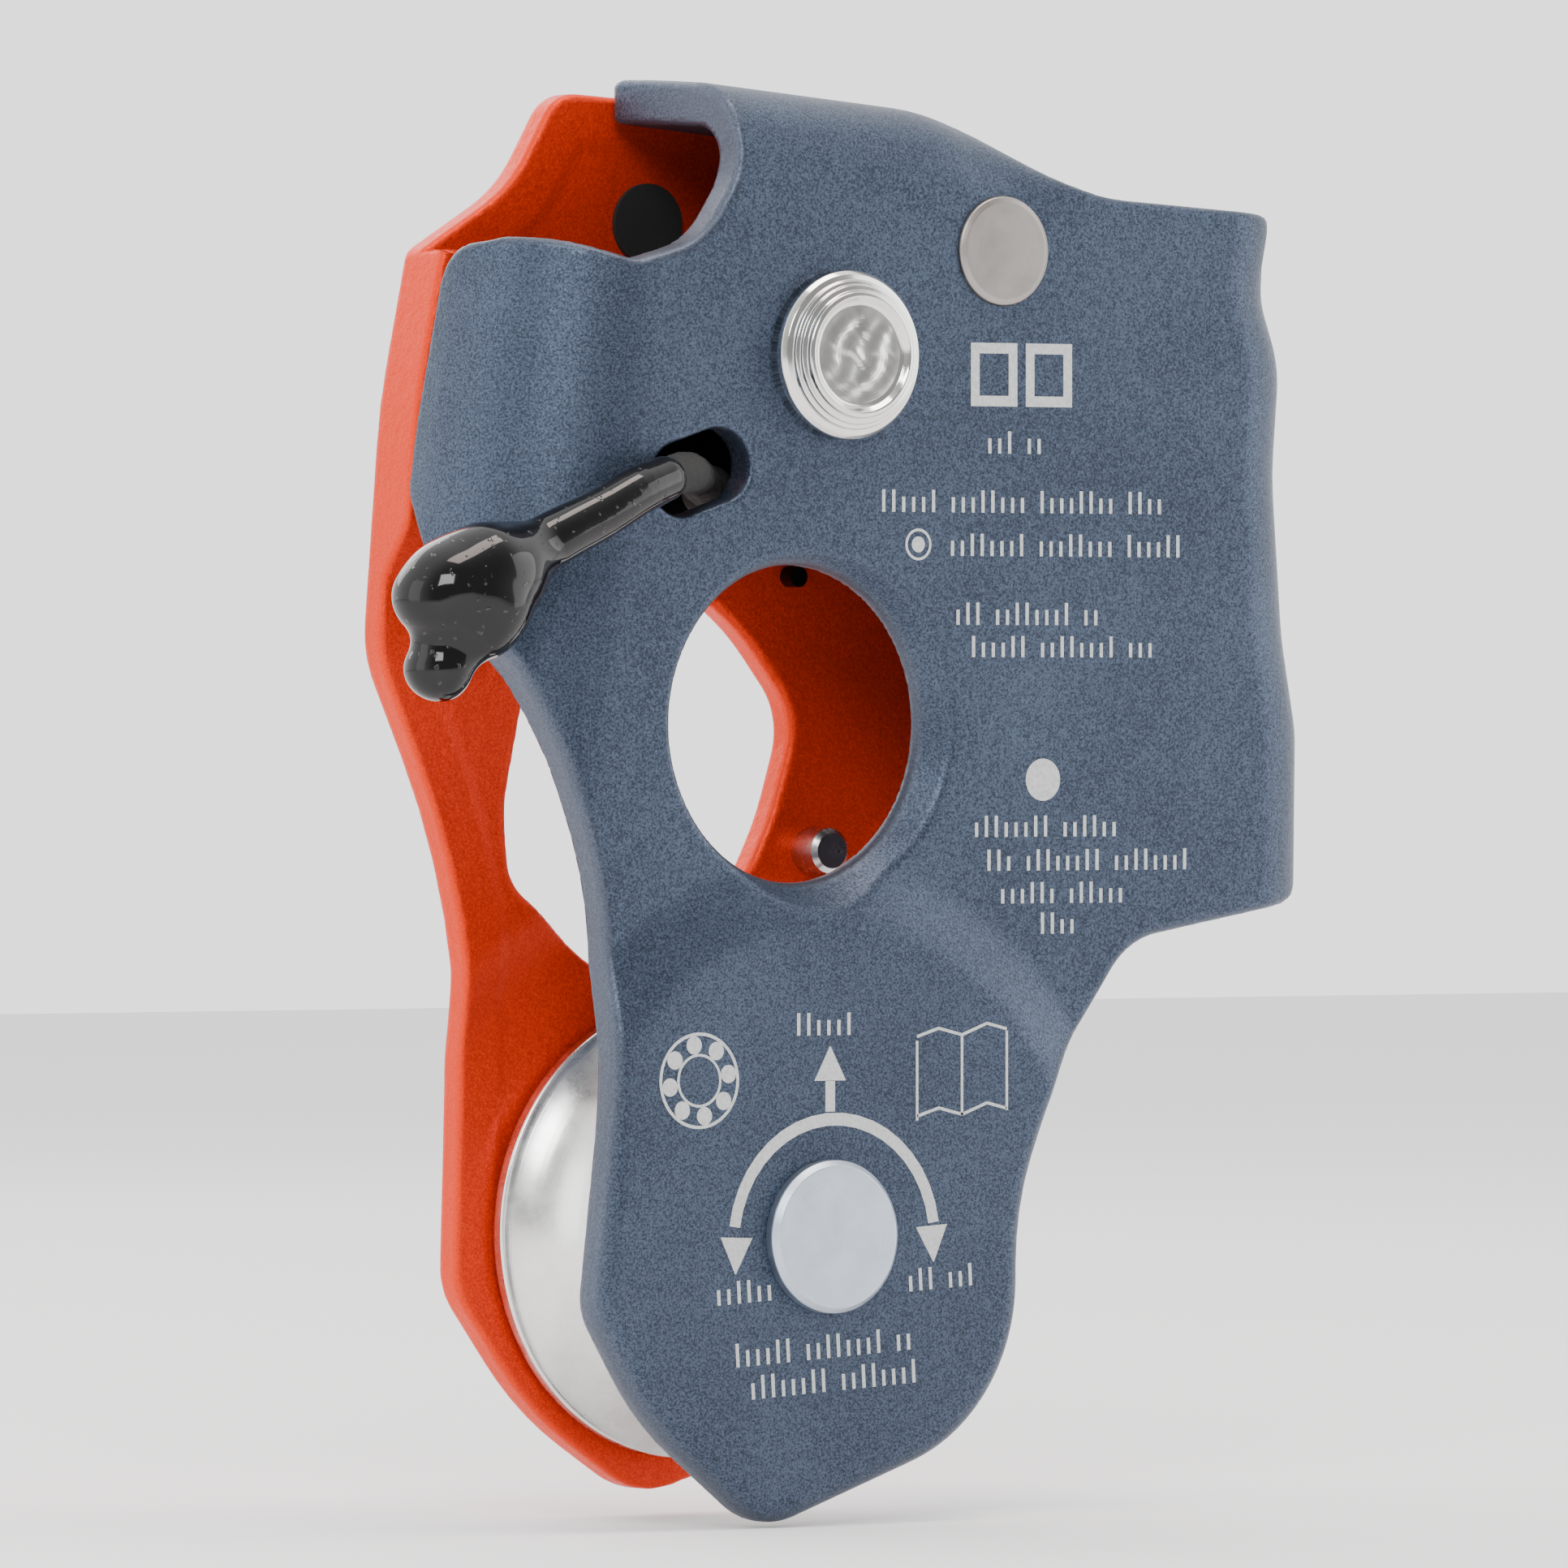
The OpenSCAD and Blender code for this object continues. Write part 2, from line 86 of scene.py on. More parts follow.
def make_camera():
    camera = bpy.data.objects.new("camera", bpy.data.cameras.new("camera"))
    bpy.context.scene.collection.objects.link(camera)
    back = Vector((math.sin(CAMERA_AZIMUTH) * math.cos(CAMERA_ELEVATION),
                   -math.cos(CAMERA_AZIMUTH) * math.cos(CAMERA_ELEVATION), math.sin(CAMERA_ELEVATION)))
    camera.location = CAMERA_TARGET + back * CAMERA_DISTANCE
    camera.rotation_mode = "QUATERNION"
    camera.rotation_quaternion = (-back).to_track_quat("-Z", "Y")
    camera.data.lens = CAMERA_LENS
    camera.data.sensor_width = 36
    camera.data.clip_start, camera.data.clip_end = 0.05, 20
    bpy.context.scene.camera = camera


make_camera()

# ---- Sizes shared with the CAD model, read from its nodes ----

cheek_low, cheek_high = node_box("front_cheek")
rear_low, rear_high = node_box("rear_cheek")
axle_low, axle_high = node_box("sheave_axle")
sheave_low, sheave_high = node_box("sheave")
cam_axle_high = node_box("cam_axle")[1]
stop_high = node_box("cam_stop_pin")[1]

PLATE_T = 3.6
FRONT_OUT = -PLATE_T / 2
FRONT_IN = PLATE_T / 2
FOLD_Y = cheek_high[1]
REAR_IN = 19.5
REAR_OUT = REAR_IN + PLATE_T
MID_Y = (FRONT_IN + REAR_IN) / 2
LOBE_JOG = 1.9
LOBE_R = 31.0
LOBE_SLOPE_R = 35.0
AXLE = ((axle_low[0] + axle_high[0]) / 2, (axle_low[2] + axle_high[2]) / 2)
CAM_PIVOT = (4.5, 34.6)
STOP_PIN = (23.2, 44.7)
SLOT = (-11.4, 23.5)
SLOT_R = 3.5
SLOT_REACH = 2.2
SLOT_TILT = math.radians(18)

# The pull cord's route: the same points as in the CAD model
CORD_INSIDE = [(-6.8, 4.6, 22.3), (-8.6, 2.8, 22.8), (-11.4, 0.0, 23.4)]
CORD_OUTSIDE = [(-11.4, 0.0, 23.4), (-14.5, -3.1, 23.4), (-18.2, -5.4, 22.7), (-22.0, -6.2, 21.4),
                (-26.2, -6.6, 19.4), (-30.4, -6.8, 17.6), (-34.4, -6.95, 15.75), (-39.4, -7.2, 13.2),
                (-42.0, -7.2, 12.3)]
CORD_D = 3.8


# ---- Mesh making ----

def link(name, data, body, replaces=()):
    """A named object that rides on a CAD body and stands for the CAD nodes it replaces."""
    obj = bpy.data.objects.new(name, data)
    bpy.context.scene.collection.objects.link(obj)
    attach(obj, body)
    if replaces:
        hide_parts(*replaces)
    return obj


def mesh_from(name, points, faces, smooth=True):
    """A mesh from points in millimetres and faces of equal length."""
    mesh = bpy.data.meshes.new(name)
    points = np.asarray(points, np.float32) * MM
    faces = np.asarray(faces, np.int32)
    count, sides = faces.shape
    mesh.vertices.add(len(points))
    mesh.vertices.foreach_set("co", points.ravel())
    mesh.loops.add(count * sides)
    mesh.loops.foreach_set("vertex_index", faces.ravel())
    mesh.polygons.add(count)
    mesh.polygons.foreach_set("loop_start", np.arange(0, count * sides, sides, dtype=np.int32))
    mesh.polygons.foreach_set("use_smooth", np.full(count, smooth))
    mesh.update(calc_edges=True)
    mesh.validate()
    return mesh


# ---- Distance fields ----

def intersect(a, b, r):
    """The intersection of two fields with its edge rounded to radius r."""
    return np.minimum(np.maximum(a, b), -r) + np.hypot(np.maximum(a + r, 0), np.maximum(b + r, 0))


def unite(a, b, r):
    """The union of two fields with a fillet of radius r."""
    return -intersect(-a, -b, r)


def cut(a, b, r):
    """Field a less field b, with the new edge rounded to radius r."""
    return intersect(a, -b, r)


def smoothstep(x, low, high):
    t = np.clip((x - low) / (high - low), 0, 1)
    return t * t * (3 - 2 * t)


def corner_arc(a, b, c, r):
    """Points of the arc that rounds the corner b between a and c."""
    u = (a - b) / np.linalg.norm(a - b)
    v = (c - b) / np.linalg.norm(c - b)
    half = math.acos(np.clip(u @ v, -1, 1)) / 2
    middle = (u + v) / np.linalg.norm(u + v)
    centre = b + middle * r / math.sin(half)
    p = b + u * r / math.tan(half) - centre
    q = b + v * r / math.tan(half) - centre
    first = math.atan2(p[1], p[0])
    sweep = (math.atan2(q[1], q[0]) - first + math.pi) % (2 * math.pi) - math.pi
    steps = max(2, math.ceil(abs(sweep) / math.radians(5)))
    return [centre + r * np.array([math.cos(first + sweep * k / steps), math.sin(first + sweep * k / steps)])
            for k in range(steps + 1)]


def rounded(corners, closed=True):
    """The outline through (x, y, radius) corners, each rounded to its radius."""
    points = [np.array(c[:2], float) for c in corners]
    out = []
    for k, corner in enumerate(corners):
        is_end = not closed and k in (0, len(corners) - 1)
        if corner[2] == 0 or is_end:
            out.append(points[k])
        else:
            out += corner_arc(points[k - 1], points[k], points[(k + 1) % len(points)], corner[2])
    return np.array(out)


class Outline:
    """The signed distance to a closed outline, kept on a grid and read back smoothly."""

    def __init__(self, corners, low, high, step=0.4):
        shape = rounded(corners)
        self.low, self.step = np.array(low, float), step
        u = np.arange(low[0], high[0] + step, step)
        v = np.arange(low[1], high[1] + step, step)
        gu, gv = np.meshgrid(u, v, indexing="ij")
        best = np.full(gu.shape, np.inf)
        inside = np.zeros(gu.shape, bool)
        for a, b in zip(shape, np.roll(shape, -1, 0)):
            d = b - a
            length = d @ d
            if length < 1e-12:
                continue
            t = np.clip(((gu - a[0]) * d[0] + (gv - a[1]) * d[1]) / length, 0, 1)
            best = np.minimum(best, (gu - a[0] - t * d[0]) ** 2 + (gv - a[1] - t * d[1]) ** 2)
            crosses = (a[1] > gv) != (b[1] > gv)
            if d[1] != 0:
                inside ^= crosses & (gu < a[0] + d[0] * (gv - a[1]) / d[1])
        self.field = np.where(inside, -1, 1) * np.sqrt(best)

    def __call__(self, u, v):
        a = np.clip((u - self.low[0]) / self.step, 0, self.field.shape[0] - 1.001)
        b = np.clip((v - self.low[1]) / self.step, 0, self.field.shape[1] - 1.001)
        i, j = a.astype(int), b.astype(int)
        a, b = a - i, b - j
        f = self.field
        return ((f[i, j] * (1 - a) + f[i + 1, j] * a) * (1 - b)
                + (f[i, j + 1] * (1 - a) + f[i + 1, j + 1] * a) * b)


def net(field, low, high, step):
    """Surface-net mesh of field's zero: points and quads."""
    axes = [np.arange(l, h + step, step) for l, h in zip(low, high)]
    shape = [len(a) for a in axes]
    values = np.empty(shape, np.float32)
    gx, gz = np.meshgrid(axes[0], axes[2], indexing="ij")
    for j, y in enumerate(axes[1]):
        values[:, j, :] = field(gx, np.full_like(gx, y), gz)
    inside = values < 0
    cells = np.array(shape) - 1

    def corner(array, dx, dy, dz):
        return array[dx:cells[0] + dx, dy:cells[1] + dy, dz:cells[2] + dz]

    count = sum(corner(inside, dx, dy, dz).astype(np.int8)
                for dx in (0, 1) for dy in (0, 1) for dz in (0, 1))
    active = (count > 0) & (count < 8)
    where = np.argwhere(active)
    index = np.full(cells, -1, np.int32)
    index[active] = np.arange(len(where))
    total = np.zeros((len(where), 3))
    hits = np.zeros(len(where))
    for axis in range(3):
        others = [a for a in range(3) if a != axis]
        for p in (0, 1):
            for q in (0, 1):
                start = where.copy()
                start[:, others[0]] += p
                start[:, others[1]] += q
                end = start.copy()
                end[:, axis] += 1
                a = values[tuple(start.T)]
                b = values[tuple(end.T)]
                crossed = (a < 0) != (b < 0)
                t = np.where(crossed, a / np.where(a == b, 1, a - b), 0)
                point = start.astype(float)
                point[:, axis] += t
                total[crossed] += point[crossed]
                hits[crossed] += 1
    points = total / hits[:, None] * step + np.array([a[0] for a in axes])
    quads = []
    for axis in range(3):
        u, v = [(1, 2), (2, 0), (0, 1)][axis]
        a = inside
        b = np.roll(inside, -1, axis)
        change = a != b
        edge = [slice(1, -1)] * 3
        edge[axis] = slice(0, -1)
        sub = np.argwhere(change[tuple(edge)]) + np.array([s.start for s in edge])
        sub = sub[(sub[:, u] > 0) & (sub[:, v] > 0)]
        ring = []
        for du, dv in ((-1, -1), (0, -1), (0, 0), (-1, 0)):
            cell = sub.copy()
            cell[:, u] += du
            cell[:, v] += dv
            ring.append(index[tuple(cell.T)])
        ring = np.stack(ring, 1)
        outward = inside[tuple(sub.T)]
        quads.append(ring[outward])
        quads.append(ring[~outward][:, ::-1])
    return points, np.vstack(quads)


def gradient(field, points, reach=0.05):
    """The field's slope at the points."""
    out = np.empty_like(points)
    for axis in range(3):
        step = np.zeros(3)
        step[axis] = reach
        high, low = points + step, points - step
        out[:, axis] = (field(*high.T) - field(*low.T)) / (2 * reach)
    return out


def settled(field, points, rounds=3, limit=0.3):
    """The points moved onto the field's surface."""
    for _ in range(rounds):
        slope = gradient(field, points)
        size = np.maximum((slope ** 2).sum(1), 0.05)
        move = -slope * (field(*points.T) / size)[:, None]
        length = np.linalg.norm(move, axis=1)
        points = points + move * np.minimum(1, limit / np.maximum(length, 1e-9))[:, None]
    return points


def field_mesh(name, field, low, high, step, keep=1.0, edge=None):
    """A mesh of the field's surface. keep is the share of faces left by decimation, and edge gives the value
    stored at each point that says how near it is to a cut edge."""
    points, quads = net(field, low, high, step)
    mesh = mesh_from(name, settled(field, points), quads)
    if keep < 1:
        holder = bpy.data.objects.new(name, mesh)
        bpy.context.scene.collection.objects.link(holder)
        holder.modifiers.new("fewer", "DECIMATE").ratio = keep
        evaluated = holder.evaluated_get(bpy.context.evaluated_depsgraph_get())
        fewer = bpy.data.meshes.new_from_object(evaluated)
        bpy.data.objects.remove(holder)
        bpy.data.meshes.remove(mesh)
        mesh = fewer
        mesh.name = name
    places = np.empty(len(mesh.vertices) * 3, np.float32)
    mesh.vertices.foreach_get("co", places)
    places = settled(field, places.reshape(-1, 3) / MM, 2, 0.1)
    mesh.vertices.foreach_set("co", (places * MM).astype(np.float32).ravel())
    mesh.polygons.foreach_set("use_smooth", np.ones(len(mesh.polygons), bool))
    mesh.update()
    normals = gradient(field, places, 0.03)
    normals /= np.maximum(np.linalg.norm(normals, axis=1), 1e-6)[:, None]
    mesh.normals_split_custom_set_from_vertices(normals.astype(np.float32))
    if edge:
        layer = mesh.attributes.new("edge", "FLOAT", "POINT")
        layer.data.foreach_set("value", edge(*places.T).astype(np.float32))
    return mesh


# ---- Front cheek ----

FLAP_LINE = (-32.9, 24.0)
FLAP_TILT = math.radians(8)
FLAP_R = 14.5
CHANNEL_R = 8.0
FLANGE_R = 7.5
FLANGE_T = 4.2
HOLE_R = 14.9
BEVEL_R = 16.2
BEVEL_SHIFT = 1.2
BEVEL_LEAN = 0.9
PLAN_LOW, PLAN_HIGH = (-44, -80), (70, 66)

TOP_CORNERS = [(20.3, 57.8, 22), (32.8, 50.1, 21)]
WAIST_RIGHT = [(38.3, -20.6, 8.5), (28.6, -34.2, 25), (24.4, -45.9, 30), (24.4, -65.3, 18)]
FRONT_OUTLINE = Outline(
    [(-7, 90, 0), (90, 90, 0), (90, -11.6, 0)] + WAIST_RIGHT
    + [(-5, -75.6, 7.3), (-18.2, -65.1, 28), (-24.5, -54.6, 6), (-22.3, -36, 60), (-21.9, -17, 40), (-26.2, -3.5, 40),
       (-29.8, 5.5, 15), (-51.2, 36, 0), (-51.2, 46, 0), (-25.2, 45.3, 20), (-18.3, 43.2, 3), (-11.2, 45.2, 8),
       (-7, 51.5, 8)],
    PLAN_LOW, PLAN_HIGH)
FLAP_SIDE = Outline([(-30, 90, 0), (4, 90, 0), (6, 45.4, 3), (13.6, 44.4, 4.5), (15.15, 28, 12), (15.15, 21.5, 4),
                     (6.5, 9, 6), (6.5, -120, 0), (-30, -120, 0)], (-8, -80), (24, 66))
CHANNEL_EDGE = rounded([(58.6, 70, 0), (58.6, 47, 3), (57.4, 41, 8), (59.85, 34.3, 12), (59, 23.8, 30),
                        (60.15, 8.2, 30), (61.8, -0.8, 12), (61.3, -40, 0)], closed=False)
TOP_EDGE = rounded([(-21.2, 61.4, 0)] + TOP_CORNERS + [(78.8, 47.4, 0)], closed=False)


def lobe(x, z):
    """1 on the lobe pressed around the sheave, 0 outside it."""
    return 1 - smoothstep(np.hypot(x - AXLE[0], z - AXLE[1]), LOBE_R - 2.5, LOBE_SLOPE_R + 1)


def channel_side(x, z):
    return x - np.interp(z, CHANNEL_EDGE[::-1, 1], CHANNEL_EDGE[::-1, 0])


def top_side(x, z):
    slope = np.interp(x, (TOP_EDGE[1:, 0] + TOP_EDGE[:-1, 0]) / 2, np.diff(TOP_EDGE[:, 1]) / np.diff(TOP_EDGE[:, 0]))
    return (z - np.interp(x, TOP_EDGE[:, 0], TOP_EDGE[:, 1])) / np.sqrt(1 + slope ** 2)


def flap_side(x, z):
    return -((x - FLAP_LINE[0]) * math.cos(FLAP_TILT) - (z - FLAP_LINE[1]) * math.sin(FLAP_TILT))


def slot_shape(x, z):
    along = (x - SLOT[0]) * math.cos(SLOT_TILT) + (z - SLOT[1]) * math.sin(SLOT_TILT)
    across = -(x - SLOT[0]) * math.sin(SLOT_TILT) + (z - SLOT[1]) * math.cos(SLOT_TILT)
    return np.hypot(np.maximum(np.abs(along) - SLOT_REACH, 0), across) - SLOT_R


def front_cheek(x, y, z):
    jog = LOBE_JOG * lobe(x, z)
    right, left = channel_side(x, z), flap_side(x, z)
    top = top_side(x, z) - 0.6 * smoothstep(y, 2, 17)      # the flange slopes up a little to the back
    folded = 1 - smoothstep(x, 20, 34)                     # 1 where the top is folded, 0 near the channel
    flange_r = 0.8 + (FLANGE_R - 0.8) * folded
    outer = intersect(FRONT_OUT - jog - y, left, FLAP_R)
    outer = intersect(outer, right, CHANNEL_R)
    outer = intersect(outer, top, flange_r)
    lean = 0.05 * np.clip(y, 0, 20) * smoothstep(z, 44, 54)    # of the flange's end face
    outer = intersect(outer, FRONT_OUTLINE(x + lean, z), 0.8 + 1.3 * smoothstep(-z, 24, 44))
    inner = intersect(FRONT_IN - jog - y, left + PLATE_T, FLAP_R - PLATE_T)
    inner = intersect(inner, right + PLATE_T, CHANNEL_R - PLATE_T)
    inner = intersect(inner, top + FLANGE_T, np.maximum(flange_r - FLANGE_T, 0.4))
    shell = cut(outer, inner, 0.6)
    # The folded edges stop short of the rear cheek, and the top fold runs out before the channel
    back = FOLD_Y - (FOLD_Y - FRONT_IN) * smoothstep(x, 20, 32) * smoothstep(top, -12, -5)
    shell = intersect(shell, y - back, 1.6 + 0.45 * smoothstep(top, -9, -6) * folded)
    shell = intersect(shell, np.minimum(FLAP_SIDE(y, z), -x - 11), 0.7)
    shell = np.maximum(shell, intersect(right, top, 3))
    # The channel wall's lower end
    below = (0.174 * (x - 44.5) - 19.5 - z) / 1.015
    shell = np.maximum(shell, np.where(x > 45, intersect(right, below, 5), -9))
    shell = cut(shell, np.hypot(x, z) - HOLE_R, 0.45)
    cone = (BEVEL_R - BEVEL_LEAN * (y - FRONT_OUT) - np.hypot(x - BEVEL_SHIFT, z)) / math.hypot(1, BEVEL_LEAN)
    shell = intersect(shell, np.minimum(cone, 4 - y), 0.35)
    return cut(shell, slot_shape(x, z), 0.45)


def front_edge_wear_highlight(x, y, z):
    """1 on the cut edges, where the plate's thickness shows. The material paints them paler: partly worn anodising,
    partly a painted highlight.
    """
    away = np.abs(FRONT_OUTLINE(x, z))
    hole = np.abs(np.hypot(x, z) - HOLE_R)
    return np.maximum(1 - smoothstep(away, 0.1, 0.9), 1 - smoothstep(hole, 0.1, 0.8))


# ---- Rear cheek ----

REAR_OUTLINE = Outline(
    [(-13.2, 59.6, 4)] + TOP_CORNERS + [(58.2, 48.4, 5), (60.9, -17.1, 5)] + WAIST_RIGHT
    + [(-2.3, -73.5, 8.7), (-14.9, -65.2, 33), (-23.5, -53.4, 7), (-22.5, -17.8, 70), (-33.4, 6.5, 12),
       (-31.5, 30, 60), (-28.5, 44.4, 1.5), (-18.4, 50.6, 14)], PLAN_LOW, PLAN_HIGH)
WALL_T = 3.4
WALL_TOP = 44.3
WALL_FRONT = rear_low[1]
BUSH_HOLE_R = 6.52
REAR_HOLE = Outline([(-12.3, 23.1, 13), (8, 8.9, 22), (14.5, 0.7, 7), (11.6, -8.9, 28), (6, -19.8, 9), (-5, -24.9, 8),
                     (-18.4, -15, 5), (-18.9, -7.5, 15)], PLAN_LOW, PLAN_HIGH)


def rear_cheek(x, y, z):
    jog = LOBE_JOG * lobe(x, z)
    edge = REAR_OUTLINE(x, z)
    walled = smoothstep(z, 13, 20) * (z < WALL_TOP) * (1 - smoothstep(x, -19.2, -15.2))
    front = REAR_IN + jog - (REAR_IN - WALL_FRONT) * walled
    outer = intersect(y - REAR_OUT - jog, edge, 1.2)
    outer = intersect(outer, front - y, 0.6)
    inner = intersect(y - REAR_IN - jog, edge + WALL_T, 2.2)
    shell = cut(outer, np.maximum(inner, 5 - y), 0.5)
    shell = cut(shell, REAR_HOLE(x, z), 0.9)
    return cut(shell, np.hypot(x - AXLE[0], z - AXLE[1]) - BUSH_HOLE_R, 0.2)


# The rear cheek's cut edges and hole rim, painted paler in the material: partly worn anodising, partly a painted
# highlight.
def rear_edge_wear_highlight(x, y, z):
    away = np.abs(REAR_OUTLINE(x, z))
    return np.maximum(1 - smoothstep(away, 0.1, 0.9), 1 - smoothstep(np.abs(REAR_HOLE(x, z)), 0.2, 1.2))


# ---- Turned pieces ----

def turned(profile, at, sides):
    """Points and quads of a profile of (radius, y) turned about an axis along Y; a radius near 0 closes it."""
    profile = np.asarray(profile, float)
    angle = np.arange(sides) * 2 * math.pi / sides
    ring = np.stack([np.cos(angle), np.zeros(sides), np.sin(angle)], 1)
    points = np.concatenate([ring * r + [at[0], y, at[1]] for r, y in profile])
    k = np.arange(sides)
    faces = [np.stack([n * sides + k, n * sides + (k + 1) % sides, (n + 1) * sides + (k + 1) % sides,
                       (n + 1) * sides + k], 1) for n in range(len(profile) - 1)]
    return points, np.vstack(faces)


def turned_piece(name, profile, at, body, replaces, sides, material):
    mesh = mesh_from(name, *turned(profile, at, sides))
    mesh.materials.append(material)
    return link(name, mesh, body, replaces)


def eased(corners):
    """A turned profile from (radius, y, rounding) corners."""
    return rounded(corners, closed=False)


def dimple_face(mesh):
    """Hammers the flat dish of the rivet's head into shallow dimples."""
    count = len(mesh.vertices)
    points = np.empty(count * 3, np.float32)
    mesh.vertices.foreach_get("co", points)
    points = points.reshape(-1, 3)
    x, z = points[:, 0] / MM - CAM_PIVOT[0], points[:, 2] / MM - CAM_PIVOT[1]
    r = np.hypot(x, z)
    on_face = (points[:, 1] < -4.7 * MM) & (r < 4.7)
    waves = (np.sin(1.3 * x + 0.7 + np.sin(0.9 * z)) * np.sin(1.1 * z - 0.4 + np.sin(1.2 * x))
             + 0.45 * np.sin(2.3 * x - 1.7 * z + 1.3 * np.sin(z)) + 0.2 * np.sin(3.9 * z + 2.1 * x + np.sin(2 * x)))
    points[:, 1] += np.where(on_face, 0.045 * waves * (1 - (r / 4.8) ** 4), 0) * MM
    mesh.vertices.foreach_set("co", points.ravel())
    mesh.update()


# ---- Marks on the front cheek ----

class Marks:
    """Thin raised marks on the front cheek's face, all made of strips."""

    def __init__(self):
        self.points, self.faces = [], []

    def strip(self, left, right):
        """A strip between two rows of (x, z) points, a hair proud of the face."""
        n = len(left)
        plan = np.array(list(left) + list(right), float)
        face = FRONT_OUT - LOBE_JOG * lobe(plan[:, 0], plan[:, 1])
        base = sum(len(p) for p in self.points)
        for y in (face - 0.03, face + 0.03):
            self.points.append(np.stack([plan[:, 0], y, plan[:, 1]], 1))
        a, b, c, d = base, base + n, base + 2 * n, base + 3 * n
        for k in range(n - 1):
            self.faces += [(a + k, a + k + 1, b + k + 1, b + k), (c + k, d + k, d + k + 1, c + k + 1),
                           (a + k, c + k, c + k + 1, a + k + 1), (b + k, b + k + 1, d + k + 1, d + k)]
        k = n - 1
        self.faces += [(a, b, d, c), (a + k, c + k, d + k, b + k)]

    def line(self, x0, z0, x1, z1, width):
        steps = max(2, int(math.hypot(x1 - x0, z1 - z0)) + 1)
        length = math.hypot(x1 - x0, z1 - z0)
        ox, oz = -(z1 - z0) / length * width / 2, (x1 - x0) / length * width / 2
        t = np.linspace(0, 1, steps)
        x, z = x0 + (x1 - x0) * t, z0 + (z1 - z0) * t
        self.strip(np.stack([x + ox, z + oz], 1), np.stack([x - ox, z - oz], 1))

    def ring(self, x, z, r_in, r_out, start=0.0, end=360.0):
        a = np.radians(np.linspace(start, end, max(10, int(abs(end - start) / 8))))
        circle = np.stack([np.cos(a), np.sin(a)], 1)
        self.strip((x, z) + circle * r_out, (x, z) + circle * r_in)

    def arrow(self, x, z, angle, width, length):
        """A solid arrow head with its tip at x, z; the angle is its heading."""
        ux, uz = math.cos(math.radians(angle)), math.sin(math.radians(angle))
        back = (x - ux * length, z - uz * length)
        self.strip([(back[0] - uz * width / 2, back[1] + ux * width / 2), (x - uz * 0.05, z + ux * 0.05)],
                   [(back[0] + uz * width / 2, back[1] - ux * width / 2), (x + uz * 0.05, z - ux * 0.05)])

    def ticks(self, x0, x1, z, height, lean=0.0, seed=1, pitch=1.15):
        """A row of plain upright strokes, in groups, in place of a line of small print."""
        for k in range(int((x1 - x0) / pitch) + 1):
            if (k * 5 + seed * 3) % 9 == 0:
                continue
            x = x0 + k * pitch
            tall = height * (1, 0.68, 1, 0.68, 0.68)[(k * 3 + seed) % 5]
            low = z - height / 2 + (x - x0) * lean
            self.line(x, low, x - lean * tall, low + tall, 0.36)

    def object(self, name):
        mesh = mesh_from(name, np.vstack(self.points), self.faces, smooth=False)
        mesh.materials.append(LASER)
        return link(name, mesh, "front_frame")


def lobe_marks():
    m = Marks()
    m.ring(-13.0, -33.2, 4.2, 4.5)
    m.ring(-13.0, -33.2, 2.25, 2.5)
    for k in range(8):
        a = math.radians(45 * k + 10)
        m.ring(-13.0 + 3.35 * math.cos(a), -33.2 + 3.35 * math.sin(a), 0.01, 0.85)
    m.ring(2.4, -48.5, 10.9, 12.1, 8, 172)
    m.arrow(-8.9, -51.3, -92, 3.6, 3.4)
    m.arrow(13.8, -50.6, -86, 3.6, 3.4)
    m.line(1.9, -36.3, 1.9, -33.45, 1.1)
    m.arrow(1.9, -30.2, 90, 3.6, 3.2)
    for x in (11.9, 17.1, 22.3):
        m.line(x, -29.4 + 0.08 * (x - 17), x, -36.9 + 0.08 * (x - 17), 0.28)
    for z in (-29.0, -36.5):
        m.line(11.9, z - 0.4, 14.4, z + 0.35, 0.28)
        m.line(14.4, z + 0.35, 17.1, z - 0.3, 0.28)
        m.line(17.1, z - 0.3, 20.0, z + 0.75, 0.28)
        m.line(20.0, z + 0.75, 22.3, z + 0.2, 0.28)
    m.ticks(-1.7, 5.6, -28.1, 2.1, 0, 2)
    m.ticks(-11.9, -4.8, -53.2, 2.1, 0.06, 3)
    m.ticks(11.2, 18.4, -52.3, 2.1, 0.06, 4)
    m.ticks(-8.6, 11.4, -58.9, 2.2, 0.06, 5)
    m.ticks(-8.0, 11.9, -62.0, 2.2, 0.06, 6)
    return m.object("laser_marks_lobe")


def upper_marks():
    m = Marks()
    for x in (22.2, 28.6):
        for half in (-1, 1):
            m.strip([(x + half * dx * 2.7, 33 + dz * 3) for dx, dz in ((0, -1), (1, -1), (1, 1), (0, 1))],
                    [(x + half * dx * 1.7, 33 + dz * 2) for dx, dz in ((0, -1), (1, -1), (1, 1), (0, 1))])
    m.ticks(21.7, 28.1, 26.6, 2.1, 0, 1)
    m.ticks(9.4, 42.3, 21.0, 2.1, 0, 2)
    m.ring(13.4, 16.9, 1.25, 1.5)
    m.ring(13.4, 16.9, 0.01, 0.75)
    m.ticks(16.2, 44.4, 16.9, 2.1, 0, 3)
    m.ticks(18.0, 34.1, 10.4, 2.1, 0, 4)
    m.ticks(19.8, 40.8, 7.3, 2.0, 0, 5)
    m.ring(27.9, -5.3, 0.01, 2.0)
    m.ticks(19.0, 36.6, -9.7, 2.0, 0, 6)
    m.ticks(21.6, 45.1, -12.9, 2.0, 0, 7)
    m.ticks(23.2, 37.2, -16.0, 2.0, 0, 8)
    m.ticks(26.7, 31.7, -18.9, 2.0, 0, 9)
    return m.object("laser_marks_upper")


# ---- Materials ----

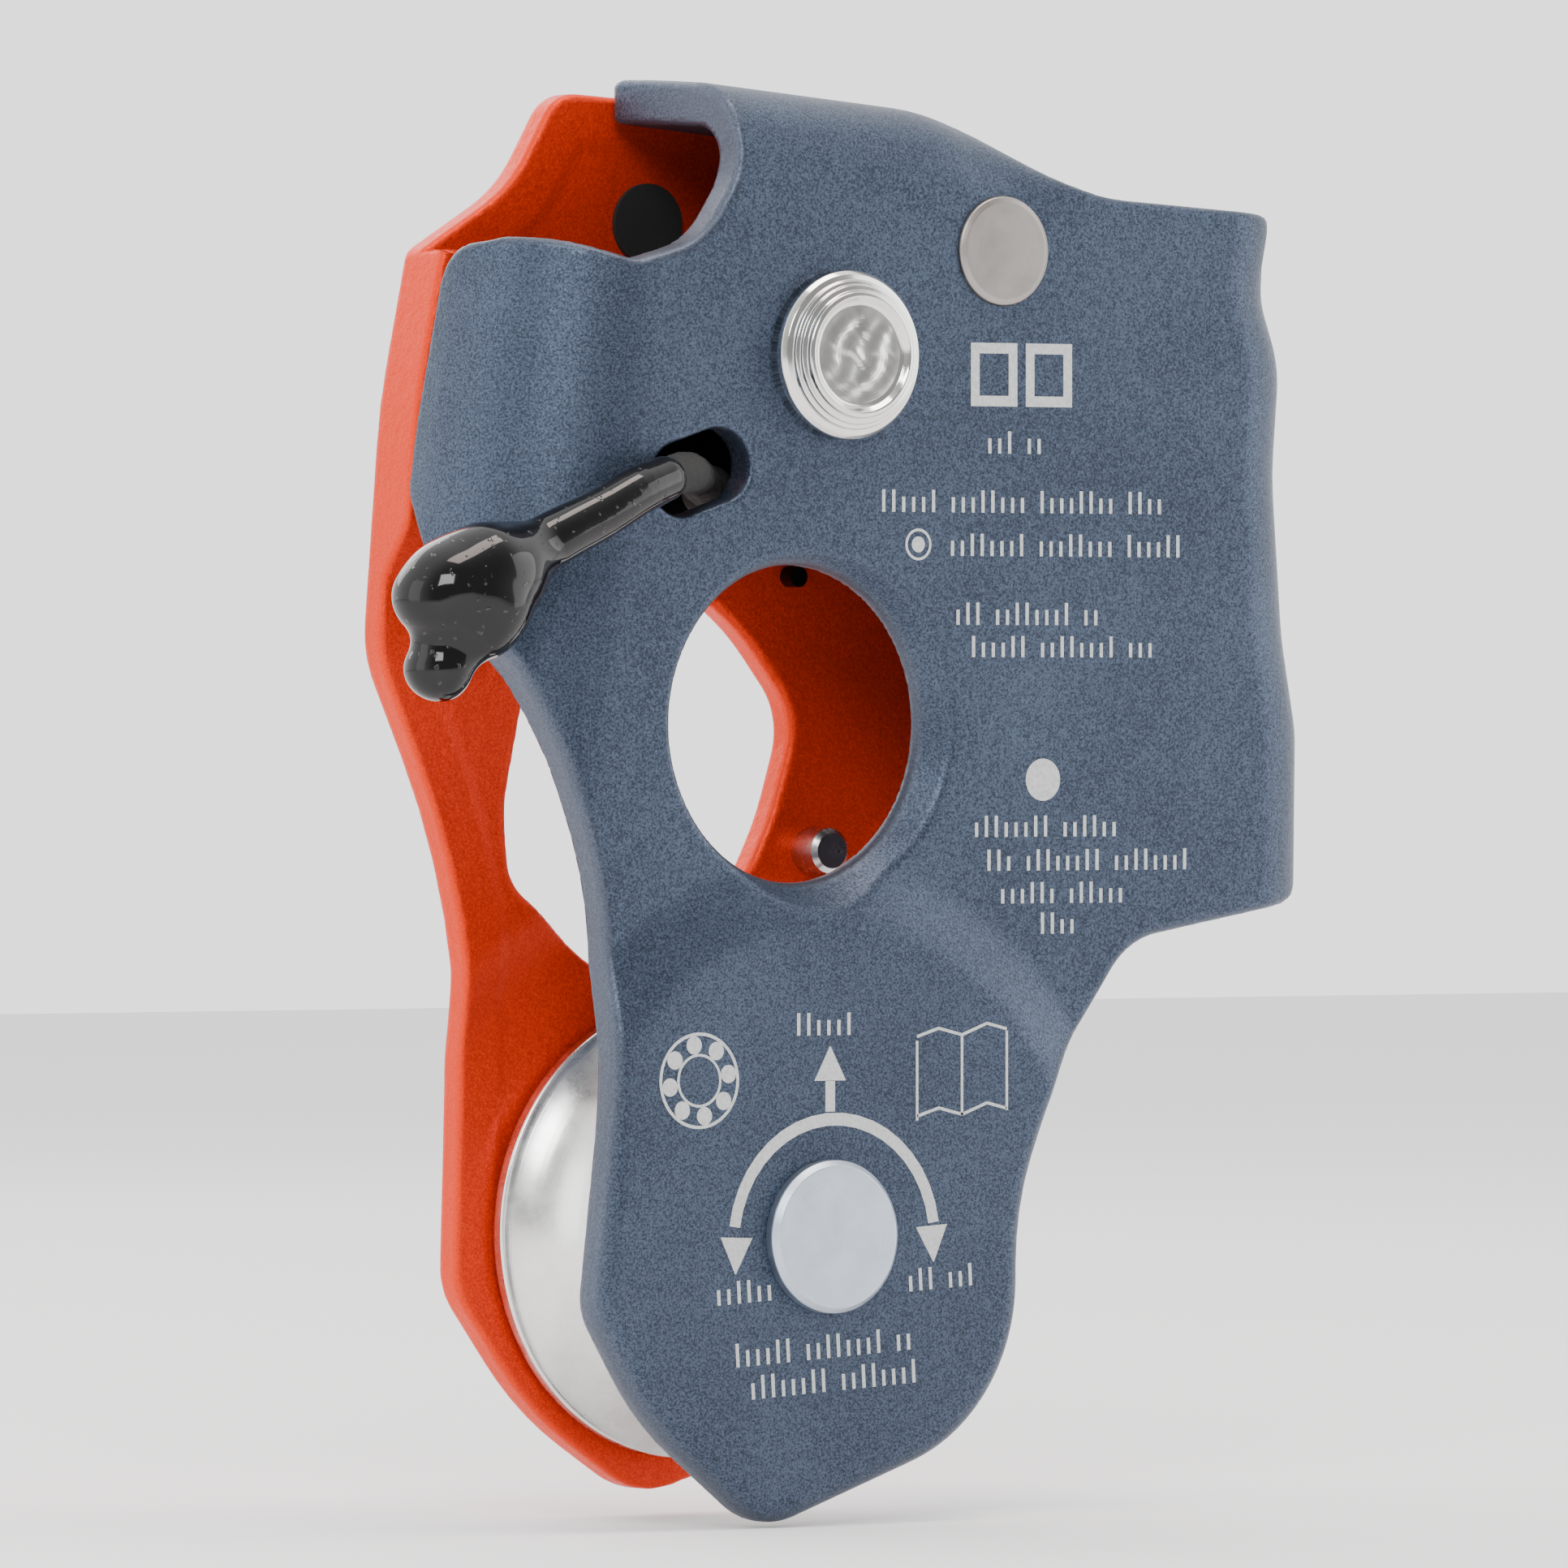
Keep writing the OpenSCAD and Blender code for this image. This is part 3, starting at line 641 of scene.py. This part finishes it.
class Shader:
    """A short way to write a node material."""

    def __init__(self, name, **settings):
        self.material = bpy.data.materials.new(name)
        self.material.use_nodes = True
        self.tree = self.material.node_tree
        self.base = self.tree.nodes["Principled BSDF"]
        for key, value in settings.items():
            self.base.inputs[key.replace("_", " ")].default_value = value
        self.place = self.add("ShaderNodeTexCoord").outputs["Object"]

    def add(self, kind, **values):
        node = self.tree.nodes.new(kind)
        for key, value in values.items():
            setattr(node, key, value)
        return node

    def join(self, source, target):
        self.tree.links.new(source, target)

    def noise(self, scale, detail, rough, place=None):
        node = self.add("ShaderNodeTexNoise")
        for key, value in (("Scale", scale), ("Detail", detail), ("Roughness", rough)):
            node.inputs[key].default_value = value
        self.join(place or self.place, node.inputs["Vector"])
        return node.outputs[0]

    def math(self, operation, a, b=0.0):
        node = self.add("ShaderNodeMath", operation=operation)
        for socket, value in zip(node.inputs, (a, b)):
            if isinstance(value, (int, float)):
                socket.default_value = value
            else:
                self.join(value, socket)
        return node.outputs[0]

    def ramp(self, source, low, high, out_low=0.0, out_high=1.0):
        node = self.add("ShaderNodeMapRange")
        for key, value in zip(("From Min", "From Max", "To Min", "To Max"), (low, high, out_low, out_high)):
            node.inputs[key].default_value = value
        self.join(source, node.inputs["Value"])
        return node.outputs["Result"]

    def mix(self, factor, a, b):
        node = self.add("ShaderNodeMix", data_type="RGBA")
        for key, value in (("Factor", factor), ("A", a), ("B", b)):
            socket = [s for s in node.inputs if s.name == key and s.enabled][0]
            if isinstance(value, (int, float)):
                socket.default_value = value
            elif isinstance(value, tuple):
                socket.default_value = value + (1.0,)
            else:
                self.join(value, socket)
        return [s for s in node.outputs if s.enabled][0]

    def attribute(self, name):
        return self.add("ShaderNodeAttribute", attribute_name=name).outputs["Fac"]

    def bump(self, height, strength, distance, under=None):
        node = self.add("ShaderNodeBump")
        node.inputs["Strength"].default_value = strength
        node.inputs["Distance"].default_value = distance
        self.join(height, node.inputs["Height"])
        if under is not None:
            self.join(under, node.inputs["Normal"])
        return node.outputs["Normal"]

    def use(self, **sockets):
        for key, source in sockets.items():
            self.join(source, self.base.inputs[key.replace("_", " ")])
        return self.material


def anodised(name, deep, lit, pale_and_highlight, rough, grain, speck, metallic=0.65, ior=1.5):
    """Bead-blasted and anodised alloy: fine grain, faint clouding, bright specks, and cut edges painted paler, partly
    as worn anodising and partly as a painted highlight.
    """
    s = Shader(name, Metallic=metallic, IOR=ior)
    clouds = s.noise(60, 4, 0.55)
    fine = s.noise(2600, 2, 0.6)
    coarse = s.noise(900, 2, 0.5)
    specks = s.ramp(s.noise(3400, 1, 0.5), 0.62, 0.72)
    edge = s.attribute("edge")
    mottle = s.math("ADD", s.math("MULTIPLY", clouds, 0.15), s.math("MULTIPLY", s.noise(4800, 2, 0.7), 0.85))
    colour = s.mix(s.ramp(mottle, 0.4, 0.62), deep, lit)
    # Cut edges painted paler: partly worn anodising, partly a painted highlight where the edges catch the light.
    colour = s.mix(s.math("MULTIPLY", edge, 0.45), colour, pale_and_highlight)
    colour = s.mix(s.math("MULTIPLY", specks, speck), colour, pale_and_highlight)
    height = s.math("ADD", s.math("MULTIPLY", fine, 0.6), coarse)
    return s.use(Base_Color=colour, Roughness=s.ramp(fine, 0.2, 0.8, rough - 0.07, rough + 0.07),
                 Normal=s.bump(height, grain, 0.00012))


def metal(name, colour, rough, scratches=0.25, lathe=None):
    """Bare metal with fine scratches; lathe is the axle its turning rings run round."""
    s = Shader(name, Metallic=1.0)
    wear = s.noise(350, 5, 0.6)
    tint = s.mix(s.ramp(wear, 0.35, 0.75), tuple(c * 0.86 for c in colour), colour)
    if lathe:
        split = s.add("ShaderNodeSeparateXYZ")
        s.join(s.place, split.inputs[0])
        dx = s.math("SUBTRACT", split.outputs[0], lathe[0] * MM)
        dz = s.math("SUBTRACT", split.outputs[2], lathe[1] * MM)
        radius = s.math("SQRT", s.math("ADD", s.math("MULTIPLY", dx, dx), s.math("MULTIPLY", dz, dz)))
        along = s.add("ShaderNodeCombineXYZ")
        s.join(radius, along.inputs[0])
        s.join(split.outputs[1], along.inputs[1])
        height = s.noise(3500, 2, 0.6, along.outputs[0])
    else:
        height = s.noise(2500, 3, 0.6)
    return s.use(Base_Color=tint, Roughness=s.ramp(wear, 0.3, 0.8, rough - 0.04, rough + 0.08),
                 Normal=s.bump(height, scratches, 0.00003))


def plain(name, colour, rough, grain_scale=900, grain=0.3, metallic=0.0):
    s = Shader(name, Metallic=metallic)
    n = s.noise(grain_scale, 4, 0.6)
    return s.use(Base_Color=s.mix(s.ramp(n, 0.3, 0.7), tuple(c * 0.7 for c in colour), colour),
                 Roughness=s.ramp(n, 0.2, 0.8, rough - 0.06, rough + 0.06), Normal=s.bump(n, grain, 0.0001))


def dipped(name):
    """Glossy black dip: smooth, with a few small bubbles and dust specks."""
    s = Shader(name, Roughness=0.07, IOR=1.4)
    waves = s.noise(150, 2, 0.4)
    dots = s.ramp(s.noise(1500, 1, 0.4), 0.68, 0.74)
    return s.use(Base_Color=s.mix(s.math("MULTIPLY", dots, 0.12), (0.003, 0.003, 0.0035), (0.2, 0.2, 0.2)),
                 Normal=s.bump(s.math("ADD", waves, s.math("MULTIPLY", dots, 0.3)), 0.35, 0.0004))


BLUE = anodised("blue_anodised", (0.018, 0.027, 0.046), (0.072, 0.098, 0.150), (0.10, 0.11, 0.14), 0.44, 0.40, 0.28)
ORANGE = anodised("orange_anodised", (0.52, 0.018, 0.0008), (0.74, 0.034, 0.0012), (0.80, 0.045, 0.002), 0.46, 0.7,
                  0.05, 0.45, 1.3)
SHEAVE_METAL = metal("sheave_alloy", (0.88, 0.88, 0.86), 0.27, 0.35, AXLE)
AXLE_METAL = metal("machined_alloy", (0.58, 0.66, 0.76), 0.40, 0.3, AXLE)
RIVET_METAL = metal("rivet_alloy", (0.80, 0.79, 0.77), 0.12, 0.35, CAM_PIVOT)
STOP_METAL = metal("stop_pin_alloy", (0.36, 0.33, 0.31), 0.38, 0.3, STOP_PIN)
STEEL = metal("steel", (0.62, 0.62, 0.62), 0.25)
DARK_STEEL = metal("spring_steel", (0.22, 0.22, 0.23), 0.35)
# Near-black steel: a black-oxide finish, also kept this dark as painted shade so that the cam seen through the slot
# reads as the slot's shadow.
BLACK_STEEL_SLOT_SHADE = metal("dark_steel", (0.020, 0.020, 0.021), 0.45)
BEARING_METAL = metal("bearing_steel", (0.66, 0.66, 0.67), 0.2)
BALL_METAL = metal("ball_steel", (0.80, 0.80, 0.81), 0.06, 0.05)
BRASS = metal("pressed_brass", (0.70, 0.50, 0.20), 0.3)
BRONZE = metal("bronze", (0.52, 0.34, 0.15), 0.4)
BLACK_CORD = plain("black_cord", (0.012, 0.012, 0.012), 0.85, 2500, 0.8)
BLACK_FELT = plain("black_felt", (0.010, 0.010, 0.010), 0.95, 1800, 1.0)
BLACK_DIP = dipped("black_dip")
LASER = plain("laser_mark", (0.56, 0.58, 0.58), 0.6, 3000, 0.2, 0.2)

# ---- The pull cord, its sleeve and toggle ----


def smooth_path(points, per=6):
    """A Catmull-Rom curve through the points."""
    p = np.array(points, float)
    p = np.vstack([2 * p[0] - p[1], p, 2 * p[-1] - p[-2]])
    out = []
    for k in range(1, len(p) - 2):
        for t in np.arange(per) / per:
            a, b, c, d = p[k - 1:k + 3]
            out.append(0.5 * (2 * b + (c - a) * t + (2 * a - 5 * b + 4 * c - d) * t ** 2
                              + (3 * b - a - 3 * c + d) * t ** 3))
    return np.vstack([out, p[-2]])


def sides_of(path):
    """Two unit vectors across the path at each point, carried along it without twist."""
    along = np.gradient(path, axis=0)
    along /= np.linalg.norm(along, axis=1)[:, None]
    across = [np.cross(along[0], [0, 0, 1.0])]
    for t in along:
        v = across[-1] - t * (across[-1] @ t)
        across.append(v / np.linalg.norm(v))
    across = np.array(across[1:])
    return along, across, np.cross(along, across)


def tube(path, radius, sides=24, relief=None):
    """Points and quads of a tube; relief(turn, length) adds to its radius. Its ends are drawn in to close it."""
    along, across, up = sides_of(path)
    lengths = np.concatenate([[0], np.cumsum(np.linalg.norm(np.diff(path, axis=0), axis=1))])
    angle = np.arange(sides) * 2 * math.pi / sides
    radius = np.broadcast_to(radius, len(path))
    rings = []
    for k, centre in enumerate(path):
        r = radius[k] + (relief(angle, lengths[k]) if relief else 0)
        rings.append(centre + (np.cos(angle) * r)[:, None] * across[k] + (np.sin(angle) * r)[:, None] * up[k])
    rings.insert(0, path[0] + (rings[0] - path[0]) * 0.05)
    rings.append(path[-1] + (rings[-1] - path[-1]) * 0.05)
    points = np.vstack(rings)
    k = np.arange(sides)
    faces = [np.stack([n * sides + k, n * sides + (k + 1) % sides, (n + 1) * sides + (k + 1) % sides,
                       (n + 1) * sides + k], 1) for n in range(len(rings) - 1)]
    return points, np.vstack(faces)


def braid(angle, length):
    """The relief of a braided cord: two sets of strands that cross."""
    turn = 2 * math.pi * length / 5.2
    return 0.10 * (np.maximum(np.sin(6 * angle + turn * 3), 0) + np.maximum(np.sin(6 * angle - turn * 3), 0)) - 0.12


def cord_pieces():
    outside = smooth_path(CORD_OUTSIDE, 12)
    mesh = mesh_from("pull_cord_run", *tube(outside, CORD_D / 2, 36, braid))
    run = link("pull_cord_run", mesh, "cord_body", ["pull_cord"])
    mesh.materials.append(BLACK_CORD)
    inner = mesh_from("pull_cord_inner", *tube(smooth_path(CORD_INSIDE, 12), CORD_D / 2, 36, braid))
    inner_run = link("pull_cord_inner", inner, "cord_body")
    inner.materials.append(BLACK_CORD)
    length = np.linalg.norm(np.diff(outside, axis=0), axis=1).sum()
    return run, inner_run, outside, length


def toggle_field():
    path = smooth_path(CORD_OUTSIDE[2:8], 4)

    def field(x, y, z):
        best = np.full(np.shape(x), np.inf)
        for k, (a, b) in enumerate(zip(path[:-1], path[1:])):
            d = b - a
            t = np.clip(((x - a[0]) * d[0] + (y - a[1]) * d[1] + (z - a[2]) * d[2]) / (d @ d), 0, 1)
            r = 2.15 + 0.65 * (k + t) / (len(path) - 1)
            best = np.minimum(best, np.sqrt((x - a[0] - t * d[0]) ** 2 + (y - a[1] - t * d[1]) ** 2
                                            + (z - a[2] - t * d[2]) ** 2) - r)
        for cx, cy, cz, r, blend in ((-39.7, -7.2, 13.1, 5.2, 3.6), (-44.3, -7.3, 11.7, 4.4, 3.0),
                                     (-44.4, -7.2, 5.3, 3.2, 1.8), (-40.5, -8.6, 9.6, 3.6, 2.0)):
            ball = np.sqrt((x - cx) ** 2 + (y - cy) ** 2 + (z - cz) ** 2) - r
            best = unite(best, ball, blend)
        uneven = np.sin(0.55 * x + 0.3 * z) * np.sin(0.7 * z - 0.4 * y) + 0.4 * np.sin(1.1 * x - 0.8 * z + 0.6 * y)
        return best + 0.12 * uneven * smoothstep(-x, 34, 38)
    return field


cord_run, cord_inner, cord_path, cord_length = cord_pieces()
toggle_low = node_box("toggle")[0]
dip_field = toggle_field()
dip = link("dipped_toggle",
           field_mesh("dipped_toggle", dip_field, toggle_low - 1, (-15, -1, 27), 0.3),
           "cord_body", ["toggle", "cord_sleeve"])
dip.data.materials.append(BLACK_DIP)
[c * MM for c in CORD_OUTSIDE[0]]
[[c * MM for c in p] for p in cord_path]

# ---- The cheeks ----

front = link("front_cheek_forged",
             field_mesh("front_cheek_forged", front_cheek, cheek_low - 1.5, cheek_high + 1.5, 0.5, 0.7,
                        front_edge_wear_highlight), "front_frame", ["front_cheek"])
front.data.materials.append(BLUE)
rear = link("rear_cheek_forged",
            field_mesh("rear_cheek_forged", rear_cheek, rear_low - 1.5, rear_high + 1.5, 0.5, 0.7,
                       rear_edge_wear_highlight), "rear_side", ["rear_cheek"])
rear.data.materials.append(ORANGE)

# ---- Turned pieces ----

GROOVE_R, GROOVE_DEPTH = 9.25, 5.6
sheave_r = (sheave_high[0] - sheave_low[0]) / 2
sheave_y0, sheave_y1 = sheave_low[1], sheave_high[1]


def sheave_profile():
    """Half the sheave in section, from its bore round the front face, rim, groove and back."""
    middle_r = sheave_r - GROOVE_DEPTH + GROOVE_R
    groove = []
    reach = math.asin(min(1.0, (middle_r - sheave_r + 0.35) / GROOVE_R))
    for k in range(33):
        a = (math.pi / 2 - reach) * (2 * k / 32 - 1)
        groove.append((middle_r - GROOVE_R * math.cos(a), MID_Y + GROOVE_R * math.sin(a), 0))
    rim = 0.7
    corners = [(13.02, sheave_y0 + 0.5, 0), (13.5, sheave_y0, 0), (sheave_r, sheave_y0, rim),
               (sheave_r, groove[0][1] - 0.05, 0.3)]
    back = [(sheave_r, groove[-1][1] + 0.05, 0.3), (sheave_r, sheave_y1, rim), (13.5, sheave_y1, 0),
            (13.02, sheave_y1 - 0.5, 0)]
    outline = rounded(corners + groove + back, closed=False)
    return np.vstack([outline, outline[:1]])


turned_piece("sheave_turned", sheave_profile(), AXLE, "sheave_body", ["sheave"], 192, SHEAVE_METAL)

lobe_front = FRONT_OUT - LOBE_JOG
head_r = 7.2
turned_piece("sheave_axle_turned", eased(
    [(0.01, lobe_front - 1.5, 0), (head_r - 0.55, lobe_front - 1.5, 0.15), (head_r, lobe_front - 0.95, 0.25),
     (head_r, lobe_front + 0.02, 0), (5, lobe_front + 0.02, 0), (5, axle_high[1] - 1.3, 0),
     (6.6, axle_high[1] - 1.3, 0), (6.6, axle_high[1] - 0.6, 0.3), (6.0, axle_high[1], 0.3),
     (0.01, axle_high[1], 0)]), AXLE, "front_frame", ["sheave_axle"], 128, AXLE_METAL)

RIVET_FACE = [(4.75 * k / 30, -4.85 + 0.05 * (k / 30) ** 2, 0) for k in range(1, 31)]
rivet = turned_piece("cam_axle_rivet", eased(
    [(0.01, -4.85, 0)] + RIVET_FACE
    + [(5.0, -4.95, 0.2), (5.45, -5.4, 0.2), (5.9, -5.35, 0.25), (6.05, -4.85, 0.1), (6.5, -4.8, 0.12),
       (6.6, -4.45, 0.1), (6.95, -4.4, 0.15), (7.05, -3.95, 0.1), (7.55, -3.8, 0.25), (7.95, -3.35, 0.3),
       (7.95, FRONT_OUT + 0.02, 0), (5, FRONT_OUT + 0.02, 0), (5, cam_axle_high[1] - 0.9, 0),
       (6.4, cam_axle_high[1] - 0.9, 0), (6.4, cam_axle_high[1] - 0.4, 0.3), (5.9, cam_axle_high[1], 0.3),
       (0.01, cam_axle_high[1], 0)]),
    CAM_PIVOT, "front_frame", ["cam_axle"], 144, RIVET_METAL)
dimple_face(rivet.data)
turned_piece("cam_stop_pin_turned", eased(
    [(0.01, FRONT_OUT - 0.62, 0), (4.6, FRONT_OUT - 0.6, 0.25), (5.1, FRONT_OUT - 0.35, 0.3),
     (5.25, FRONT_OUT + 0.03, 0), (3, FRONT_OUT + 0.03, 0), (3, stop_high[1] - 0.4, 0.1),
     (2.6, stop_high[1], 0.1), (0.01, stop_high[1], 0)]),
    STOP_PIN, "front_frame", ["cam_stop_pin"], 128, STOP_METAL)

MATERIAL_OF = {"machined_alloy": AXLE_METAL, "steel": STEEL, "bearing_steel": BEARING_METAL,
               "ball_steel": BALL_METAL, "pressed_brass": BRASS, "spring_steel": DARK_STEEL,
               "bronze": BRONZE, "black_felt": BLACK_FELT, "rivet_alloy": RIVET_METAL,
               "black_cord": BLACK_CORD, "black_dip": BLACK_DIP, "sheave_alloy": SHEAVE_METAL,
               "dark_steel": BLACK_STEEL_SLOT_SHADE, "blue_anodised": BLUE, "orange_anodised": ORANGE}
for part in frame["record"]["subparts"]:
    mesh = NODES[part["node"]].data
    mesh.materials.clear()
    mesh.materials.append(MATERIAL_OF[part["material_slot"]])

lobe_marks()
upper_marks()

# ---- Floor and lights ----


def floor():
    size, z = 2.0, CAD_BOX[0].z - 0.0005
    mesh = bpy.data.meshes.new("floor")
    mesh.from_pydata([(-size, -size, z), (size, -size, z), (size, size, z), (-size, size, z)], [], [(0, 1, 2, 3)])
    s = Shader("floor", Roughness=0.7)
    mesh.materials.append(s.use(Base_Color=s.mix(s.noise(3, 3, 0.5), (0.86, 0.86, 0.86), (0.90, 0.90, 0.90))))
    obj = bpy.data.objects.new("floor", mesh)
    bpy.context.scene.collection.objects.link(obj)


def area_light(name, place, power, size, colour=(1, 1, 1)):
    light = bpy.data.lights.new(name, "AREA")
    light.shape = "RECTANGLE"
    light.size, light.size_y = size
    light.energy = power
    light.color = colour
    obj = bpy.data.objects.new(name, light)
    bpy.context.scene.collection.objects.link(obj)
    obj.location = Vector(place)
    obj.rotation_mode = "QUATERNION"
    obj.rotation_quaternion = (CAMERA_TARGET - obj.location).to_track_quat("-Z", "Y")


def studio_world():
    """An even pale surround, darker behind the camera so that the dark cheek keeps its colour."""
    world = bpy.data.worlds.new("studio")
    bpy.context.scene.world = world
    world.use_nodes = True
    tree = world.node_tree
    background = tree.nodes["Background"]
    background.inputs["Strength"].default_value = WORLD_STRENGTH
    nearness = tree.nodes.new("ShaderNodeVectorMath")
    nearness.operation = "DOT_PRODUCT"
    nearness.inputs[1].default_value = DARK_SIDE
    tree.links.new(tree.nodes.new("ShaderNodeTexCoord").outputs["Generated"], nearness.inputs[0])
    shade = tree.nodes.new("ShaderNodeMapRange")
    shade.interpolation_type = "SMOOTHSTEP"
    for key, value in zip(("From Min", "From Max", "To Min", "To Max"), DARK_FALLOFF):
        shade.inputs[key].default_value = value
    tree.links.new(nearness.outputs["Value"], shade.inputs["Value"])
    tree.links.new(shade.outputs["Result"], background.inputs["Color"])


WORLD_STRENGTH = 2.0
DARK_SIDE = (-0.15, -0.97, 0.19)     # the direction in which the surround is darkest
DARK_FALLOFF = (0.1, 0.85, 1.0, 0.2)   # nearness to it: from, to, and the brightness at each

floor()
area_light("key", (-0.55, -0.75, 0.55), 7, (0.4, 0.4))
area_light("top", (0.1, -0.2, 1.0), 6, (0.6, 0.3), (1.0, 0.86, 0.78))
area_light("left", (-0.9, 0.1, 0.15), 1.5, (0.5, 0.8))
area_light("right", (0.8, -0.5, 0.2), 3, (0.5, 0.8))
area_light("back", (0.0, 0.9, 0.5), 4, (0.8, 0.5))
studio_world()
